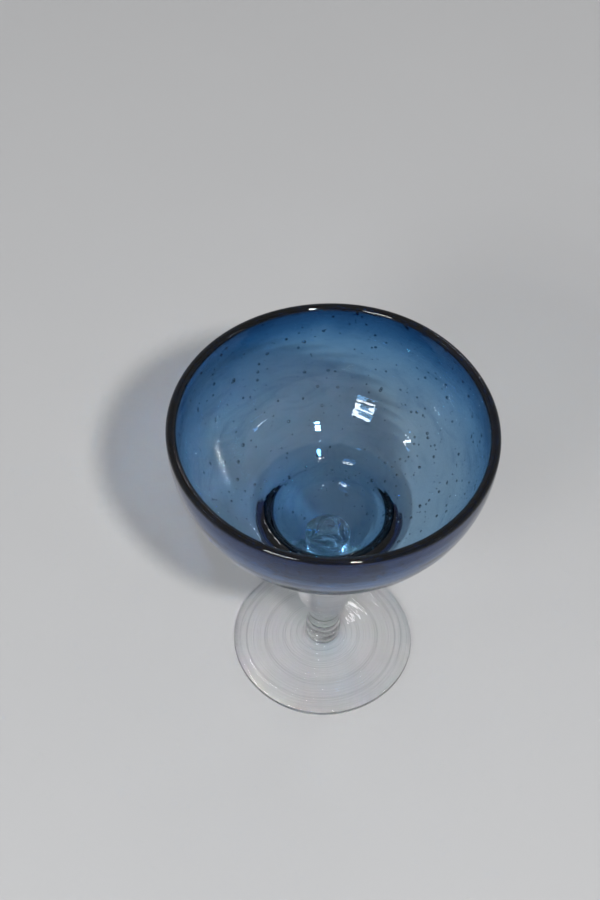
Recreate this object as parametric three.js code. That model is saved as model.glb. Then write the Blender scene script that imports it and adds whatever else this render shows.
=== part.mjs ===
// A hand-blown stemmed drinking glass: a wide bowl with a small well in its bottom,
// on a short clear stem, a pinched collar ring and a round clear foot.
//
// Millimetres, +Z up. The origin is the centre of the ring that the foot rests on.
// Every piece is a solid of revolution about Z. Its profile runs from the axis round
// the section and back to the axis. The pieces were fused hot, end to end, so each
// one meets the next on a flat disc at a shared height.

import * as THREE from 'three';

// Overall sizes
const RIM_RADIUS = 56.9;
const RIM_HEIGHT = 129.6;
const LIP_THICKNESS = 3.6;
const FOOT_RADIUS = 33.9;

// Heights of the fused joints, and the radii of their discs
const FOOT_JOINT_Z = 8.6;
const FOOT_JOINT_RADIUS = 5.9;
const COLLAR_JOINT_Z = 15.2;
const COLLAR_JOINT_RADIUS = 5.9;
const BOWL_JOINT_Z = 67.5;
const BOWL_JOINT_RADIUS = 8.6;

// Bowl: an elliptical upper cup outside and inside, running down to the well
const OUTER_DEPTH = 54.2;
const INNER_DEPTH = 50.6;
const OUTER_SHOULDER_RADIUS = 32.0;
const INNER_SHOULDER_RADIUS = 30.0;

// Well: the small lower cup in the bottom of the bowl
const WELL_OUTER_RADIUS = 24.0;
const WELL_OUTER_Z = 79.0;
const WELL_OUTER_LEAN = 0.15;
const WELL_MOUTH_RADIUS = 24.4;
const WELL_MOUTH_Z = 87.0;
const WELL_MOUTH_SLOPE = 0.25;
const WELL_INNER_RADIUS = 18.8;
const WELL_INNER_Z = 81.2;
const WELL_INNER_LEAN = 0.33;
const WELL_FLOOR_Z = 73.4;

// Stem: an upside-down baluster, widest half way up, drawn in to a neck above the collar
const TRUNK_RADIUS = 10.2;
const TRUNK_Z = 34.0;
const TRUNK_LEAN = 0.32;
const NECK_RADIUS = 5.6;
const NECK_Z = 20.0;

// Collar: the rounded bead between the stem and the foot
const COLLAR_RADIUS = 6.5;

// Foot: a thin disc, hollowed underneath, that rests on a narrow flat ring
const FOOT_EDGE_THICKNESS = 2.8;
const FOOT_EDGE_INSET = 1.6;
const FOOT_FLARE_RADIUS = 11.0;
const FOOT_FLARE_Z = 5.0;
const REST_INNER_RADIUS = 28.0;
const REST_OUTER_RADIUS = 32.4;
const UNDERSIDE_HOLLOW = 1.0;

// Facets round the axis, and along each curve of a profile
const BOWL_FACETS = 48;
const STEM_FACETS = 32;
const FOOT_FACETS = 48;
const CURVE_STEPS = 4;

const blueGlass = { color: 0x2f628c, roughness: 0.04, metalness: 0, transparent: true, opacity: 0.6 };
const clearGlass = { color: 0xe4ecec, roughness: 0.04, metalness: 0, transparent: true, opacity: 0.35 };

// Height of an ellipse's lower half at a radius, for a centre at the rim's height
function ellipseZ(radius, semiAxis, depth) {
  return RIM_HEIGHT - depth * Math.sqrt(1 - (radius / semiAxis) ** 2);
}

// Slope of the same ellipse, as rise over run
function ellipseSlope(radius, semiAxis, depth) {
  return (depth * radius) / (semiAxis ** 2 * Math.sqrt(1 - (radius / semiAxis) ** 2));
}

// Adds a cubic curve between two points. Each handle is an offset from its own end, along
// the surface there, and its length says how far the surface runs on before it bends.
function curve(path, start, startHandle, endHandle, end) {
  path.bezierCurveTo(
    start[0] + startHandle[0], start[1] + startHandle[1],
    end[0] + endHandle[0], end[1] + endHandle[1],
    end[0], end[1],
  );
}

// Turns a path in the (radius, height) plane into a closed solid round Z
function turn(name, path, facets, look) {
  const geometry = new THREE.LatheGeometry(path.getPoints(CURVE_STEPS), facets);
  geometry.rotateX(Math.PI / 2);
  const mesh = new THREE.Mesh(geometry, new THREE.MeshStandardMaterial(look));
  mesh.name = name;
  return mesh;
}

function bowl() {
  const innerRadius = RIM_RADIUS - LIP_THICKNESS;
  const outerAngle = Math.acos(OUTER_SHOULDER_RADIUS / RIM_RADIUS);
  const innerAngle = Math.acos(INNER_SHOULDER_RADIUS / innerRadius);
  const outerShoulderZ = ellipseZ(OUTER_SHOULDER_RADIUS, RIM_RADIUS, OUTER_DEPTH);
  const innerShoulderZ = ellipseZ(INNER_SHOULDER_RADIUS, innerRadius, INNER_DEPTH);
  const outerSlope = ellipseSlope(OUTER_SHOULDER_RADIUS, RIM_RADIUS, OUTER_DEPTH);
  const innerSlope = ellipseSlope(INNER_SHOULDER_RADIUS, innerRadius, INNER_DEPTH);

  const path = new THREE.Path();
  // Outside: joint disc, round bottom of the well, fillet, upper cup
  path.moveTo(0, BOWL_JOINT_Z);
  path.lineTo(BOWL_JOINT_RADIUS, BOWL_JOINT_Z);
  curve(
    path,
    [BOWL_JOINT_RADIUS, BOWL_JOINT_Z], [7, 1],
    [-5 * WELL_OUTER_LEAN, -5], [WELL_OUTER_RADIUS, WELL_OUTER_Z],
  );
  curve(
    path,
    [WELL_OUTER_RADIUS, WELL_OUTER_Z], [3 * WELL_OUTER_LEAN, 3],
    [-4, -4 * outerSlope], [OUTER_SHOULDER_RADIUS, outerShoulderZ],
  );
  path.absellipse(0, RIM_HEIGHT, RIM_RADIUS, OUTER_DEPTH, -outerAngle, 0, false, 0);
  // Rounded lip
  path.absarc(RIM_RADIUS - LIP_THICKNESS / 2, RIM_HEIGHT, LIP_THICKNESS / 2, 0, Math.PI, false);
  // Inside: upper cup, rounded mouth of the well, wall, floor
  path.absellipse(0, RIM_HEIGHT, innerRadius, INNER_DEPTH, 0, -innerAngle, true, 0);
  curve(
    path,
    [INNER_SHOULDER_RADIUS, innerShoulderZ], [-2, -2 * innerSlope],
    [2, 2 * WELL_MOUTH_SLOPE], [WELL_MOUTH_RADIUS, WELL_MOUTH_Z],
  );
  curve(
    path,
    [WELL_MOUTH_RADIUS, WELL_MOUTH_Z], [-3.4, -3.4 * WELL_MOUTH_SLOPE],
    [3 * WELL_INNER_LEAN, 3], [WELL_INNER_RADIUS, WELL_INNER_Z],
  );
  curve(
    path,
    [WELL_INNER_RADIUS, WELL_INNER_Z], [-4.4 * WELL_INNER_LEAN, -4.4],
    [WELL_INNER_RADIUS / 2, 0], [0, WELL_FLOOR_Z],
  );
  return turn('bowl', path, BOWL_FACETS, blueGlass);
}

function stem() {
  const path = new THREE.Path();
  path.moveTo(0, COLLAR_JOINT_Z);
  path.lineTo(COLLAR_JOINT_RADIUS, COLLAR_JOINT_Z);
  curve(
    path,
    [COLLAR_JOINT_RADIUS, COLLAR_JOINT_Z], [-0.1, 1],
    [0, -2.4], [NECK_RADIUS, NECK_Z],
  );
  curve(
    path,
    [NECK_RADIUS, NECK_Z], [0, 3.5],
    [-5 * TRUNK_LEAN, -5], [TRUNK_RADIUS, TRUNK_Z],
  );
  curve(
    path,
    [TRUNK_RADIUS, TRUNK_Z], [4 * TRUNK_LEAN, 4],
    [1, -14], [BOWL_JOINT_RADIUS, BOWL_JOINT_Z],
  );
  path.lineTo(0, BOWL_JOINT_Z);
  return turn('stem', path, STEM_FACETS, clearGlass);
}

function collar() {
  const middleZ = (FOOT_JOINT_Z + COLLAR_JOINT_Z) / 2;
  const path = new THREE.Path();
  path.moveTo(0, FOOT_JOINT_Z);
  path.lineTo(FOOT_JOINT_RADIUS, FOOT_JOINT_Z);
  path.quadraticCurveTo(COLLAR_RADIUS, FOOT_JOINT_Z + 0.6, COLLAR_RADIUS, middleZ);
  path.quadraticCurveTo(COLLAR_RADIUS, COLLAR_JOINT_Z - 0.6, COLLAR_JOINT_RADIUS, COLLAR_JOINT_Z);
  path.lineTo(0, COLLAR_JOINT_Z);
  return turn('collar', path, STEM_FACETS, clearGlass);
}

function foot() {
  const path = new THREE.Path();
  // Hollowed underside, flat resting ring, rounded edge
  path.moveTo(0, UNDERSIDE_HOLLOW);
  path.quadraticCurveTo(REST_INNER_RADIUS * 0.7, UNDERSIDE_HOLLOW, REST_INNER_RADIUS, 0);
  path.lineTo(REST_OUTER_RADIUS, 0);
  path.quadraticCurveTo(FOOT_RADIUS, 0, FOOT_RADIUS, FOOT_EDGE_THICKNESS / 2);
  path.quadraticCurveTo(
    FOOT_RADIUS, FOOT_EDGE_THICKNESS,
    FOOT_RADIUS - FOOT_EDGE_INSET, FOOT_EDGE_THICKNESS,
  );
  // Gently domed top, and the flare up to the collar
  path.quadraticCurveTo(FOOT_FLARE_RADIUS + 8, FOOT_FLARE_Z - 1, FOOT_FLARE_RADIUS, FOOT_FLARE_Z);
  path.quadraticCurveTo(FOOT_JOINT_RADIUS, FOOT_FLARE_Z + 0.8, FOOT_JOINT_RADIUS, FOOT_JOINT_Z);
  path.lineTo(0, FOOT_JOINT_Z);
  return turn('foot', path, FOOT_FACETS, clearGlass);
}

const goblet = new THREE.Group();
goblet.add(bowl(), stem(), collar(), foot());

export default goblet;
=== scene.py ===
"""Looks for a hand-blown stemmed drinking glass: a seeded blue bowl on a clear stem and foot.

Metres, +Z up, in the CAD model's frame. Every piece of glass is a closed skin turned round
the Z axis, with the small unevenness of hand work, and the bubbles are closed skins that
face into their own hollows.
"""
import math
import random

import bmesh
import bpy
from mathutils import Matrix, Vector, noise


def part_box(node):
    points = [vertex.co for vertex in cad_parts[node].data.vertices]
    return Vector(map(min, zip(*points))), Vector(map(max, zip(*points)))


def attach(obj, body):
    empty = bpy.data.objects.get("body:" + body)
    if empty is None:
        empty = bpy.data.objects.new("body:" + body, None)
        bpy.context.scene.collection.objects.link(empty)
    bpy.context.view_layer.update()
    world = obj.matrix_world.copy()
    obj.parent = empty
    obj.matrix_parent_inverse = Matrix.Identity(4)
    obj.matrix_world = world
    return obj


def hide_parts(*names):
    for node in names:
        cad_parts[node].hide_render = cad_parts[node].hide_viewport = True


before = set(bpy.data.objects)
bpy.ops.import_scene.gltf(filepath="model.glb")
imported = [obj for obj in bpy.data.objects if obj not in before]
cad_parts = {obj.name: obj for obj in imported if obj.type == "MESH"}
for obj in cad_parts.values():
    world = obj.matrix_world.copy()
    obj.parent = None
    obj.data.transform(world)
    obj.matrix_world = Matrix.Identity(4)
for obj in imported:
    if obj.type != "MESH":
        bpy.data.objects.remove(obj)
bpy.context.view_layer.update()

MM = 0.001
UP = Vector((0, 0, 1))

# Sizes that come from the CAD model
BOWL_LOW, BOWL_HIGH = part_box("bowl")
FOOT_LOW, FOOT_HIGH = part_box("foot")
RIM_RADIUS = BOWL_HIGH.x
FOOT_RADIUS = FOOT_HIGH.x
BOWL_JOINT_Z = BOWL_LOW.z
COLLAR_TOP_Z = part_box("collar")[1].z
FOOT_JOINT_Z = FOOT_HIGH.z
TABLE_Z = FOOT_LOW.z

# Bowl
LIP_THICKNESS = 3.6 * MM
RIM_Z = BOWL_HIGH.z - LIP_THICKNESS / 2
OUTER_DEPTH = 54.2 * MM
INNER_DEPTH = 50.6 * MM
OUTER_SHOULDER_RADIUS = 32.0 * MM
INNER_SHOULDER_RADIUS = 30.0 * MM
BOWL_JOINT_RADIUS = 8.6 * MM

# Well in the bowl's floor
WELL_OUTER_RADIUS = 24.0 * MM
WELL_OUTER_Z = 79.0 * MM
WELL_MOUTH_RADIUS = 24.4 * MM
WELL_MOUTH_Z = 87.0 * MM
WELL_INNER_RADIUS = 18.8 * MM
WELL_INNER_Z = 81.2 * MM
WELL_FLOOR_Z = 73.4 * MM

# Stem, collar and foot
TRUNK_RADIUS = 10.2 * MM
TRUNK_Z = 34.0 * MM
TRUNK_LEAN = 0.32
NECK_RADIUS = 5.6 * MM
NECK_Z = 20.0 * MM
COLLAR_RADIUS = 6.5 * MM
GROOVE_RADIUS = 5.9 * MM
FOOT_NECK_RADIUS = 5.9 * MM
FOOT_FLARE_RADIUS = 11.0 * MM
FOOT_FLARE_Z = 5.0 * MM
FOOT_EDGE_THICKNESS = 2.8 * MM
FOOT_EDGE_INSET = 1.8 * MM
REST_INNER_RADIUS = 28.0 * MM
REST_OUTER_RADIUS = 32.4 * MM
UNDERSIDE_HOLLOW = 1.0 * MM
FOOT_RIDGE = 0.3 * MM
FOOT_RIDGE_RADIUS = 30.2 * MM
FOOT_RIDGE_WIDTH = 0.8 * MM

# The fused joint between blue and clear glass is drawn as a hair gap, this much on each side
FUSED_GAP = 0.02 * MM

# Bubbles: how many, their sizes and shapes, and how they lie across and round the wall
SEED_COUNT = 1500
SEED_RADIUS_SMALL = 0.14 * MM
SEED_RADIUS_LARGE = 0.62 * MM
SEED_SIZE_POWER = 2.2
SEED_SHARE_OF_WALL = 0.24
SEED_STRETCH = 0.4
SEED_TILT = 0.5
SEED_NEAREST_INSIDE = 0.32
SEED_NEAREST_OUTSIDE = 0.68
SEED_DRIFT = 0.4 * MM
SEED_GATHERED_SHARE = 0.35
LIP_SEED_SHARE = 4
SEED_DICE = 11

# Glass
GLASS_IOR = 1.5
BLUE_ABSORBED = (0.04, 0.42, 0.66)
BLUE_DENSITY = 300.0
CLEAR_ABSORBED = (0.66, 0.74, 0.72)
CLEAR_DENSITY = 4.0
STREAK_DRIFT = 7 * MM
# Painted shade rings in the foot's colour: how far they waver, and where their middle lies
PAINTED_RING_DRIFT = 1.2 * MM
PAINTED_RING_MIDDLE = (-0.5 * MM, 0.3 * MM, 0)

# Studio: distances, sizes and heights in metres, and lamp powers in watts
FLOOR_RADIUS = 1.3
FLOOR_SWEEP = 0.35
WALL_TOP = 2.3
FLOOR_CLEARANCE = 0.05 * MM
KEY_WAY = (0.20, -0.55, 0.81)
KEY_DISTANCE = 1.7
KEY_DIAMETER = 0.128
KEY_POWER = 18.2
WINDOW_WAY = (-0.37, -0.70, 0.62)
WINDOW_DISTANCE = 1.25
WINDOW_PANE = (0.32, 0.07)
WINDOW_PANE_PITCH = 0.11
WINDOW_PANE_POWER = 1.5
STRIP_DISTANCE = 1.25
STRIP_SIZE = (0.22, 0.02)
STRIP_POWER = 0.35
SKY_STRENGTH = 0.32

# Camera: where the photographer stood, as distances from the glass's axis and its table
CAMERA_BACK = 503.7 * MM
CAMERA_UP = 770.7 * MM
CAMERA_PAN = math.radians(-1.27)
CAMERA_TILT = math.radians(52.35)
CAMERA_ROLL = math.radians(2.13)
CAMERA_LENS_MM = 96.0
CAMERA_SENSOR_MM = 36.0

# Turned skins: facets round the axis, and the radius that counts as on it
AROUND = 256
ON_AXIS = 1e-9


# Profiles: lists of (radius, height)

def curve(start, start_handle, end_handle, end, steps):
    """Points of a cubic curve after its start.

    Each handle is an offset in millimetres from its own end, along the surface there.
    """
    near = (start[0] + start_handle[0] * MM, start[1] + start_handle[1] * MM)
    far = (end[0] + end_handle[0] * MM, end[1] + end_handle[1] * MM)
    points = []
    for k in range(1, steps + 1):
        t = k / steps
        a, b, c, d = (1 - t) ** 3, 3 * (1 - t) ** 2 * t, 3 * (1 - t) * t * t, t ** 3
        points.append(tuple(a * w + b * x + c * y + d * z
                            for w, x, y, z in zip(start, near, far, end)))
    return points


def line(start, end, steps):
    """Points of a straight line after its start."""
    return [(start[0] + (end[0] - start[0]) * k / steps, start[1] + (end[1] - start[1]) * k / steps)
            for k in range(1, steps + 1)]


def arc(centre, radii, start, end, steps):
    """Points of an elliptical arc after its start. Angles are from the outward direction."""
    points = []
    for k in range(1, steps + 1):
        angle = start + (end - start) * k / steps
        points.append((centre[0] + radii[0] * math.cos(angle),
                       centre[1] + radii[1] * math.sin(angle)))
    return points


def ellipse_z(radius, semi_axis, depth):
    """Height of the upper cup's lower half at a radius."""
    return RIM_Z - depth * math.sqrt(1 - (radius / semi_axis) ** 2)


def ellipse_slope(radius, semi_axis, depth):
    """Slope of the same ellipse, as rise over run."""
    return depth * radius / (semi_axis ** 2 * math.sqrt(1 - (radius / semi_axis) ** 2))


def bowl_outside():
    """From the middle of the joint disc to the widest point of the lip."""
    middle = (0, BOWL_JOINT_Z + FUSED_GAP)
    joint = (BOWL_JOINT_RADIUS, BOWL_JOINT_Z + FUSED_GAP)
    wall = (WELL_OUTER_RADIUS, WELL_OUTER_Z)
    shoulder = (OUTER_SHOULDER_RADIUS, ellipse_z(OUTER_SHOULDER_RADIUS, RIM_RADIUS, OUTER_DEPTH))
    slope = ellipse_slope(OUTER_SHOULDER_RADIUS, RIM_RADIUS, OUTER_DEPTH)
    angle = math.acos(OUTER_SHOULDER_RADIUS / RIM_RADIUS)
    points = [middle]
    points += line(middle, joint, 12)
    points += curve(joint, (7, 1), (-0.75, -5), wall, 40)
    points += curve(wall, (0.45, 3), (-4, -4 * slope), shoulder, 32)
    points += arc((0, RIM_Z), (RIM_RADIUS, OUTER_DEPTH), -angle, 0, 130)
    return points


def lip():
    """Over the rounded edge, from outside to inside."""
    half = LIP_THICKNESS / 2
    return arc((RIM_RADIUS - half, RIM_Z), (half, half), 0, math.pi, 18)


def bowl_inside():
    """From the lip down the inside of the cup and the well to the middle of its floor."""
    inner_radius = RIM_RADIUS - LIP_THICKNESS
    shoulder = (INNER_SHOULDER_RADIUS, ellipse_z(INNER_SHOULDER_RADIUS, inner_radius, INNER_DEPTH))
    slope = ellipse_slope(INNER_SHOULDER_RADIUS, inner_radius, INNER_DEPTH)
    mouth = (WELL_MOUTH_RADIUS, WELL_MOUTH_Z)
    wall = (WELL_INNER_RADIUS, WELL_INNER_Z)
    floor = (0, WELL_FLOOR_Z)
    angle = math.acos(INNER_SHOULDER_RADIUS / inner_radius)
    points = arc((0, RIM_Z), (inner_radius, INNER_DEPTH), 0, -angle, 130)
    points += curve(shoulder, (-2, -2 * slope), (2, 0.5), mouth, 20)
    points += curve(mouth, (-3.4, -0.85), (1, 3), wall, 28)
    points += curve(wall, (-1.4, -4.4), (9.4, 0), floor, 60)
    return points


def stem_and_foot():
    """The clear glass in one skin, from under the foot, over its edge and up to the bowl."""
    underside = (0, UNDERSIDE_HOLLOW)
    rest = (REST_INNER_RADIUS, 0)
    rest_edge = (REST_OUTER_RADIUS, 0)
    edge = (FOOT_RADIUS, FOOT_EDGE_THICKNESS / 2)
    edge_top = (FOOT_RADIUS - FOOT_EDGE_INSET, FOOT_EDGE_THICKNESS)
    flare = (FOOT_FLARE_RADIUS, FOOT_FLARE_Z)
    foot_neck = (FOOT_NECK_RADIUS, FOOT_JOINT_Z)
    bead = (COLLAR_RADIUS, (FOOT_JOINT_Z + COLLAR_TOP_Z) / 2)
    groove = (GROOVE_RADIUS, COLLAR_TOP_Z)
    neck = (NECK_RADIUS, NECK_Z)
    trunk = (TRUNK_RADIUS, TRUNK_Z)
    joint = (BOWL_JOINT_RADIUS, BOWL_JOINT_Z - FUSED_GAP)
    middle = (0, BOWL_JOINT_Z - FUSED_GAP)
    points = [underside]
    points += curve(underside, (12.6, 0), (-7, 0.4), rest, 30)
    points += line(rest, rest_edge, 4)
    points += curve(rest_edge, (1.1, 0), (0, -0.9), edge, 8)
    points += curve(edge, (0, 0.9), (1.2, 0), edge_top, 8)
    points += curve(edge_top, (-6.2, 0.2), (5, -0.9), flare, 60)
    points += curve(flare, (-3, 0.6), (0, -2), foot_neck, 16)
    points += curve(foot_neck, (0.6, 0.6), (0, -0.8), bead, 8)
    points += curve(bead, (0, 0.8), (0.6, -0.6), groove, 8)
    points += curve(groove, (-0.1, 1), (0, -2.4), neck, 14)
    points += curve(neck, (0, 3.5), (-5 * TRUNK_LEAN, -5), trunk, 24)
    points += curve(trunk, (4 * TRUNK_LEAN, 4), (1, -14), joint, 24)
    points += line(joint, middle, 12)
    return points


# Turned skins

def section_normals(points):
    """Outward normals in the (radius, height) plane, for a profile with its solid on the left."""
    normals = []
    for k in range(len(points)):
        before = points[max(k - 1, 0)]
        after = points[min(k + 1, len(points) - 1)]
        run, rise = after[0] - before[0], after[1] - before[1]
        length = math.hypot(run, rise) or 1.0
        normals.append((rise / length, -run / length))
    return normals


def turned_skin(points, swell, warp):
    """Vertices and faces of a profile turned round Z.

    swell(angle, radius, height) is added along the surface's normal, and
    warp(angle, radius, height) gives a radius and a height for the whole section.
    """
    normals = section_normals(points)
    vertices, faces, rings = [], [], []
    for (radius, height), (normal_r, normal_z) in zip(points, normals):
        if radius < ON_AXIS:
            rings.append([len(vertices)] * AROUND)
            vertices.append((0, 0, height))
            continue
        rings.append(list(range(len(vertices), len(vertices) + AROUND)))
        for step in range(AROUND):
            angle = 2 * math.pi * step / AROUND
            out = swell(angle, radius, height)
            r, z = warp(angle, radius + normal_r * out, height + normal_z * out)
            vertices.append((r * math.cos(angle), r * math.sin(angle), z))
    for low, high in zip(rings[:-1], rings[1:]):
        for step in range(AROUND):
            after = (step + 1) % AROUND
            corners = []
            for corner in (low[step], low[after], high[after], high[step]):
                if corner not in corners:
                    corners.append(corner)
            if len(corners) > 2:
                faces.append(corners)
    return vertices, faces


def new_piece(name, vertices, faces, material):
    """A smooth mesh object with one material."""
    mesh = bpy.data.meshes.new(name)
    mesh.from_pydata(vertices, [], faces)
    mesh.materials.append(material)
    mesh.shade_smooth()
    mesh.validate()
    piece = bpy.data.objects.new(name, mesh)
    bpy.context.scene.collection.objects.link(piece)
    return piece


def share(value, none, full):
    """How far a value is on its way from none to full, from 0 to 1."""
    return max(0.0, min(1.0, (value - none) / (full - none)))


def ring_noise(angle, height, spread, pitch, key):
    """Smooth noise from -1 to 1 that closes round the axis and changes with height.

    spread is how much it changes round the axis, and pitch is the height of one change.
    Two layers with different keys have nothing in common.
    """
    return noise.noise(Vector((math.cos(angle) * spread, math.sin(angle) * spread,
                               height / pitch + key)))


# Bowl

def bowl_warp(angle, radius, height):
    """The slow unevenness of a hand-turned bowl: slightly oval, with a slightly wavy lip."""
    rise = max(0.0, (height - BOWL_JOINT_Z) / (RIM_Z - BOWL_JOINT_Z)) ** 1.5
    oval = 0.0035 * math.cos(2 * angle + 0.6) + 0.0018 * math.cos(3 * angle + 2.1)
    wave = 0.22 * MM * math.cos(2 * angle - 1.0) + 0.12 * MM * math.cos(5 * angle + 0.4)
    return radius * (1 + oval * rise), height + wave * rise


def bowl_swell(angle, radius, height):
    """Tooling ripples: fine bands that run round the bowl, stronger in and round the well."""
    in_well = share(radius, INNER_SHOULDER_RADIUS + 4 * MM, INNER_SHOULDER_RADIUS - 2 * MM)
    along = radius + height
    broad = 0.12 * ring_noise(angle, height, spread=1.2, pitch=24 * MM, key=3.0)
    bands = ring_noise(angle, along, spread=1.8, pitch=3.4 * MM, key=40.0)
    fine = ring_noise(angle, along, spread=2.0, pitch=1.3 * MM, key=71.0)
    ripple = broad + (0.036 + 0.05 * in_well) * bands + (0.006 + 0.02 * in_well) * fine
    off_axis = share(radius, 0, 8 * MM)
    below_lip = share(height, RIM_Z + 1 * MM, RIM_Z - 2 * MM)
    return ripple * MM * off_axis * below_lip


def unit_ball():
    """Vertices and faces of an 80-faced ball whose faces look inward."""
    ball = bmesh.new()
    bmesh.ops.create_icosphere(ball, subdivisions=2, radius=1.0)
    ball.verts.index_update()
    vertices = [v.co.copy() for v in ball.verts]
    faces = [[v.index for v in reversed(f.verts)] for f in ball.faces]
    ball.free()
    return vertices, faces


def wall_pairs():
    """Pairs of points that face each other across the wall, and each pair's share of the bubbles.

    The first pairs run from the lip down to the well's floor, and the last go over the lip.
    """
    inside = bowl_inside()
    outside = bowl_outside()
    pairs, shares = [], []
    for point, after in zip(inside[:-1], inside[1:]):
        pairs.append((point, min(outside, key=lambda candidate: math.dist(candidate, point))))
        shares.append(point[0] * math.dist(point, after))
    lip_radius = RIM_RADIUS - LIP_THICKNESS / 2
    lip_share = shares[0] * LIP_SEED_SHARE
    for point in lip():
        pairs.append((point, (2 * lip_radius - point[0], 2 * RIM_Z - point[1])))
        shares.append(lip_share)
    return pairs, shares


def seeds(count):
    """Vertices and faces of the bubbles in the bowl's wall."""
    dice = random.Random(SEED_DICE)
    ball, ball_faces = unit_ball()
    pairs, shares = wall_pairs()
    vertices, faces = [], []
    for _ in range(count):
        inner, outer = dice.choices(pairs, shares)[0]
        across = dice.uniform(SEED_NEAREST_INSIDE, SEED_NEAREST_OUTSIDE)
        radius = inner[0] + (outer[0] - inner[0]) * across
        height = inner[1] + (outer[1] - inner[1]) * across
        height += dice.uniform(-SEED_DRIFT, SEED_DRIFT)
        gathered = dice.random() < SEED_GATHERED_SHARE
        angle = dice.triangular(-math.pi, math.pi, 0) if gathered else dice.uniform(0, 2 * math.pi)
        largeness = dice.random() ** SEED_SIZE_POWER
        size = SEED_RADIUS_SMALL + (SEED_RADIUS_LARGE - SEED_RADIUS_SMALL) * largeness
        size = min(size, SEED_SHARE_OF_WALL * math.dist(inner, outer))
        stretch = 1 + SEED_STRETCH * dice.random() ** 2
        r, z = bowl_warp(angle, radius, height)
        centre = Vector((r * math.cos(angle), r * math.sin(angle), z))
        tilt = Matrix.Rotation(dice.uniform(-SEED_TILT, SEED_TILT), 3, "X")
        place = Matrix.Rotation(angle, 3, "Z") @ tilt @ Matrix.Diagonal((size, size * stretch, size))
        first = len(vertices)
        vertices += [tuple(centre + place @ v) for v in ball]
        faces += [[first + i for i in face] for face in ball_faces]
    return vertices, faces


def make_bowl(material):
    """The blue bowl: its skin, and the bubbles inside the wall."""
    vertices, faces = turned_skin(bowl_outside() + lip() + bowl_inside(), bowl_swell, bowl_warp)
    seed_vertices, seed_faces = seeds(SEED_COUNT)
    first = len(vertices)
    vertices += seed_vertices
    faces += [[first + i for i in face] for face in seed_faces]
    piece = new_piece("seeded_bowl", vertices, faces, material)
    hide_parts("bowl")
    return piece


# Stem, collar and foot

def foot_warp(angle, radius, height):
    """A foot spun by hand isn't quite round. The stem above it is."""
    spread = min(1.0, radius / FOOT_RADIUS) ** 2
    oval = 0.006 * math.cos(2 * angle + 2.4) + 0.005 * math.cos(3 * angle - 0.7)
    oval += 0.002 * math.cos(5 * angle + 1.9)
    return radius * (1 + oval * spread), height


def foot_swell(angle, radius, height):
    """Rings that the paddle left in the foot's upper side, and a low ridge near its edge."""
    if height < FOOT_EDGE_THICKNESS * 0.6 or radius < FOOT_NECK_RADIUS * 1.3:
        return 0.0
    spiral = radius + 0.5 * MM * math.sin(angle + 0.8)
    fine = 0.05 * MM * ring_noise(angle, spiral, spread=0.5, pitch=0.9 * MM, key=12.0)
    broad = 0.16 * MM * ring_noise(angle, spiral, spread=0.6, pitch=2.6 * MM, key=31.0)
    growth = 0.5 + 0.5 * radius / FOOT_RADIUS
    inside_edge = share(radius, FOOT_RADIUS, FOOT_RADIUS - 2 * MM)
    ridge = FOOT_RIDGE * math.exp(-((spiral - FOOT_RIDGE_RADIUS) / FOOT_RIDGE_WIDTH) ** 2)
    return (fine + broad) * growth * inside_edge + ridge


def make_stem_and_foot(material):
    """The clear stem, collar and foot, fused into one skin as in the real glass."""
    vertices, faces = turned_skin(stem_and_foot(), foot_swell, foot_warp)
    piece = new_piece("clear_stem_and_foot", vertices, faces, material)
    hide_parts("stem", "collar", "foot")
    return piece


# Materials

def new_material(name):
    """A node material, with its tree and its shader."""
    material = bpy.data.materials.new(name)
    material.use_nodes = True
    tree = material.node_tree
    return material, tree, tree.nodes["Principled BSDF"]


def glass(name, absorbed, density):
    """Principled glass with plain absorption inside. Returns the material, tree and shader."""
    material, tree, shader = new_material(name)
    shader.inputs["IOR"].default_value = GLASS_IOR
    shader.inputs["Transmission Weight"].default_value = 1.0
    inside = tree.nodes.new("ShaderNodeVolumeAbsorption")
    inside.inputs["Color"].default_value = (*absorbed, 1)
    inside.inputs["Density"].default_value = density
    tree.links.new(inside.outputs["Volume"], tree.nodes["Material Output"].inputs["Volume"])
    return material, tree, shader


def object_place(tree):
    """The point's place on the object."""
    return tree.nodes.new("ShaderNodeTexCoord").outputs["Object"]


def clouds(tree, place, **settings):
    """Noise at a place, from 0 to 1, with the texture's inputs set by name."""
    node = tree.nodes.new("ShaderNodeTexNoise")
    for name, value in settings.items():
        node.inputs[name].default_value = value
    tree.links.new(place, node.inputs["Vector"])
    return node.outputs["Fac"]


def map_range(tree, value, source, target=(0.0, 1.0)):
    """A value carried from the range source to the range target, and held inside it."""
    node = tree.nodes.new("ShaderNodeMapRange")
    node.inputs["From Min"].default_value, node.inputs["From Max"].default_value = source
    node.inputs["To Min"].default_value, node.inputs["To Max"].default_value = target
    tree.links.new(value, node.inputs["Value"])
    return node.outputs["Result"]


def drifted(tree, value, drift, amount):
    """A value moved by a drift that runs from 0 to 1, times an amount."""
    node = tree.nodes.new("ShaderNodeMath")
    node.operation = "MULTIPLY_ADD"
    node.inputs[1].default_value = amount
    tree.links.new(drift, node.inputs[0])
    tree.links.new(value, node.inputs[2])
    return node.outputs[0]


def tinted(tree, value, stops):
    """A value turned into colour by (position, colour) stops."""
    node = tree.nodes.new("ShaderNodeValToRGB")
    elements = node.color_ramp.elements
    while len(elements) < len(stops):
        elements.new(0.5)
    for element, (position, colour) in zip(elements, stops):
        element.position = position
        element.color = (*colour, 1)
    tree.links.new(value, node.inputs["Fac"])
    return node.outputs["Color"]


def smudges(tree, shader, place, worn):
    """Faint film and wipe marks: the roughness drifts from polished to worn."""
    marks = clouds(tree, place, Scale=55.0, Detail=5.0, Roughness=0.6)
    film = map_range(tree, marks, (0.45, 0.75), (0.0, worn))
    tree.links.new(film, shader.inputs["Roughness"])


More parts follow.
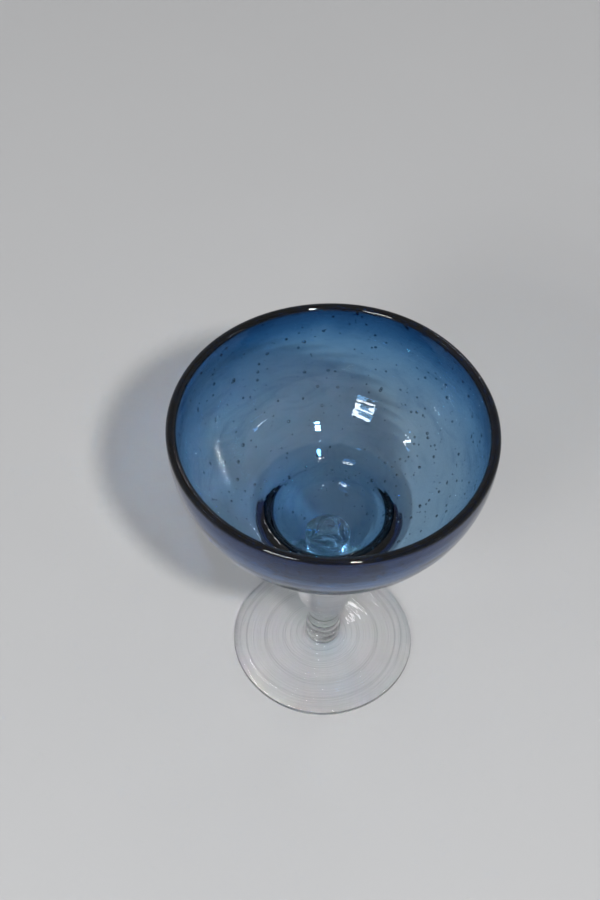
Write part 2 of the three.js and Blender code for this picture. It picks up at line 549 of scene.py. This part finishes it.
def striae(tree, place):
    """Drawn-out streaks and clouds in the melt, lying mostly round the bowl."""
    drawn = tree.nodes.new("ShaderNodeMapping")
    drawn.inputs["Scale"].default_value = (1.0, 1.0, 3.0)
    tree.links.new(place, drawn.inputs["Vector"])
    melt = clouds(tree, drawn.outputs["Vector"], Scale=42.0, Detail=6.0, Roughness=0.6,
                  Distortion=1.6)
    return tinted(tree, melt, (
        (0.32, (0.70, 0.77, 0.83)),
        (0.46, (0.93, 0.95, 0.97)),
        (0.60, (1.00, 1.00, 1.00)),
    ))


def blue_glass():
    """Blue glass, deeper towards the lip, with faint streaks in the colour."""
    material, tree, shader = glass("blue_glass", BLUE_ABSORBED, BLUE_DENSITY)
    place = object_place(tree)
    split = tree.nodes.new("ShaderNodeSeparateXYZ")
    tree.links.new(place, split.inputs["Vector"])
    streaks = clouds(tree, place, Scale=38.0, Detail=3.0, Distortion=1.2)
    height = drifted(tree, split.outputs["Z"], streaks, STREAK_DRIFT)
    level = map_range(tree, height, (BOWL_JOINT_Z, BOWL_HIGH.z + STREAK_DRIFT / 2))
    deepening = tinted(tree, level, (
        (0.00, (0.96, 0.98, 1.00)),
        (0.50, (0.93, 0.97, 1.00)),
        (0.74, (0.42, 0.68, 0.91)),
        (0.86, (0.10, 0.30, 0.56)),
        (1.00, (0.02, 0.09, 0.24)),
    ))
    clouded = tree.nodes.new("ShaderNodeMix")
    clouded.data_type = "RGBA"
    clouded.blend_type = "MULTIPLY"
    clouded.inputs["Factor"].default_value = 1.0
    tree.links.new(deepening, clouded.inputs["A"])
    tree.links.new(striae(tree, place), clouded.inputs["B"])
    tree.links.new(clouded.outputs["Result"], shader.inputs["Base Color"])
    smudges(tree, shader, place, 0.02)
    return material


def painted_ring_shade(tree, place):
    """Painted shade for the paddle's rings in the foot: fine dark bands, unevenly spaced and a
    little off centre, in place of the dark arcs the real rings show by refraction.
    """
    split = tree.nodes.new("ShaderNodeSeparateXYZ")
    tree.links.new(place, split.inputs["Vector"])
    flat = tree.nodes.new("ShaderNodeCombineXYZ")
    tree.links.new(split.outputs["X"], flat.inputs["X"])
    tree.links.new(split.outputs["Y"], flat.inputs["Y"])
    from_middle = tree.nodes.new("ShaderNodeVectorMath")
    from_middle.operation = "DISTANCE"
    from_middle.inputs[1].default_value = PAINTED_RING_MIDDLE
    tree.links.new(flat.outputs["Vector"], from_middle.inputs[0])
    waver = clouds(tree, place, Scale=50.0, Detail=1.0)
    rings = tree.nodes.new("ShaderNodeTexNoise")
    rings.noise_dimensions = "1D"
    rings.inputs["Scale"].default_value = 420.0
    rings.inputs["Detail"].default_value = 2.0
    tree.links.new(drifted(tree, from_middle.outputs["Value"], waver, PAINTED_RING_DRIFT),
                   rings.inputs["W"])
    on_foot = map_range(tree, split.outputs["Z"], (FOOT_FLARE_Z + 2 * MM, FOOT_FLARE_Z), (0.5, 1.0))
    shade = tree.nodes.new("ShaderNodeMix")
    shade.inputs["A"].default_value = 0.5
    tree.links.new(on_foot, shade.inputs["Factor"])
    tree.links.new(rings.outputs["Fac"], shade.inputs["B"])
    return shade.outputs["Result"]


def clear_glass():
    """Clear glass with the faintest grey-green body, and painted shade in thin rings on the foot."""
    material, tree, shader = glass("clear_glass", CLEAR_ABSORBED, CLEAR_DENSITY)
    place = object_place(tree)
    # Painted shade: the ramp darkens the base colour in thin rings over the foot, fainter up the
    # stem
    painted_ring_colour = tinted(tree, painted_ring_shade(tree, place), (
        (0.30, (1.00, 1.00, 1.00)),
        (0.455, (1.00, 1.00, 1.00)),
        (0.48, (0.74, 0.76, 0.77)),
        (0.505, (1.00, 1.00, 1.00)),
        (0.60, (0.97, 0.98, 0.98)),
        (0.66, (1.00, 1.00, 1.00)),
    ))
    tree.links.new(painted_ring_colour, shader.inputs["Base Color"])
    smudges(tree, shader, place, 0.03)
    return material


def pale_stage():
    """The studio's pale matt floor."""
    material, tree, shader = new_material("pale_stage")
    shader.inputs["Roughness"].default_value = 0.75
    mottle = clouds(tree, object_place(tree), Scale=9.0, Detail=3.0)
    colour = tinted(tree, mottle, (
        (0.0, (0.545, 0.546, 0.554)),
        (1.0, (0.572, 0.573, 0.580)),
    ))
    tree.links.new(colour, shader.inputs["Base Color"])
    return material


# Studio

def make_stage():
    """A round floor that sweeps up into a wall on every side, beyond every camera."""
    top = TABLE_Z - FLOOR_CLEARANCE
    points = [(0, top)] + line((0, top), (FLOOR_RADIUS, top), 12)
    points += arc((FLOOR_RADIUS, top + FLOOR_SWEEP), (FLOOR_SWEEP, FLOOR_SWEEP), -math.pi / 2, 0, 12)
    points += line(points[-1], (FLOOR_RADIUS + FLOOR_SWEEP, WALL_TOP), 4)
    vertices, faces = turned_skin(points, lambda *_: 0.0, lambda angle, r, z: (r, z))
    floor = new_piece("studio_floor", vertices, [list(reversed(f)) for f in faces], pale_stage())


def area_light(name, place, target, size, power, colour):
    """A soft light aimed at a point: a disc of one diameter, or a pane of (width, height)."""
    data = bpy.data.lights.new(name, "AREA")
    if isinstance(size, tuple):
        data.shape = "RECTANGLE"
        data.size, data.size_y = size
    else:
        data.shape = "DISK"
        data.size = size
    data.energy = power
    data.color = colour
    light = bpy.data.objects.new(name, data)
    light.location = place
    light.rotation_euler = (Vector(target) - Vector(place)).to_track_quat("-Z", "Y").to_euler()
    bpy.context.scene.collection.objects.link(light)


def make_lights():
    """A small key right of the camera, a window of three panes to its left, thin strips and sky."""
    middle = Vector((0, 0, (BOWL_JOINT_Z + BOWL_HIGH.z) / 2))
    key_place = middle + Vector(KEY_WAY).normalized() * KEY_DISTANCE
    area_light("key", key_place, middle, KEY_DIAMETER, KEY_POWER, (1.0, 0.985, 0.965))
    window_way = Vector(WINDOW_WAY).normalized()
    window_middle = middle + window_way * WINDOW_DISTANCE
    window_up = (UP - window_way * UP.dot(window_way)).normalized()
    for pane in (-1, 0, 1):
        place = window_middle + window_up * WINDOW_PANE_PITCH * pane
        area_light(f"window_{pane + 2}", place, place - window_way, WINDOW_PANE, WINDOW_PANE_POWER,
                   (0.95, 0.98, 1.0))
    for name, bearing, rise in (("left", -75, 32), ("right", 70, 28), ("back", 165, 40)):
        turn, lift = math.radians(bearing), math.radians(rise)
        way = Vector((math.sin(turn) * math.cos(lift), -math.cos(turn) * math.cos(lift),
                      math.sin(lift)))
        area_light(f"strip_{name}", middle + way * STRIP_DISTANCE, middle, STRIP_SIZE, STRIP_POWER,
                   (1.0, 1.0, 1.0))
    world = bpy.data.worlds.new("sky")
    world.use_nodes = True
    background = world.node_tree.nodes["Background"]
    background.inputs["Color"].default_value = (0.95, 0.98, 1.0, 1)
    background.inputs["Strength"].default_value = SKY_STRENGTH
    bpy.context.scene.world = world


def make_camera():
    """Above and in front, looking down into the bowl, as the photographer did."""
    pan, tilt, roll = CAMERA_PAN, CAMERA_TILT, CAMERA_ROLL
    ahead = Vector((math.sin(pan) * math.cos(tilt), math.cos(pan) * math.cos(tilt), -math.sin(tilt)))
    level = Vector((math.cos(pan), -math.sin(pan), 0))
    right = level * math.cos(roll) + level.cross(ahead) * math.sin(roll)
    up = right.cross(ahead)
    data = bpy.data.cameras.new("camera")
    data.lens = CAMERA_LENS_MM
    data.sensor_width = CAMERA_SENSOR_MM
    data.clip_start = 0.02
    camera = bpy.data.objects.new("camera", data)
    turn = Matrix((right, up, -ahead)).transposed().to_4x4()
    camera.matrix_world = Matrix.Translation((0, -CAMERA_BACK, CAMERA_UP + TABLE_Z)) @ turn
    bpy.context.scene.collection.objects.link(camera)
    bpy.context.scene.camera = camera


def set_light_paths():
    """Plain colours, and enough bounces for light to pass through several walls of glass."""
    scene = bpy.context.scene
    scene.view_settings.view_transform = "Standard"
    scene.cycles.max_bounces = 24
    scene.cycles.transmission_bounces = 24
    scene.cycles.glossy_bounces = 12
    scene.cycles.diffuse_bounces = 4
    scene.cycles.caustics_reflective = True
    scene.cycles.caustics_refractive = True
    scene.cycles.blur_glossy = 0.2
    scene.cycles.sample_clamp_indirect = 0.0
    scene.cycles.use_denoising = True


make_camera()
make_stage()
make_lights()
set_light_paths()
for piece in (make_bowl(blue_glass()), make_stem_and_foot(clear_glass())):
    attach(piece, "root")
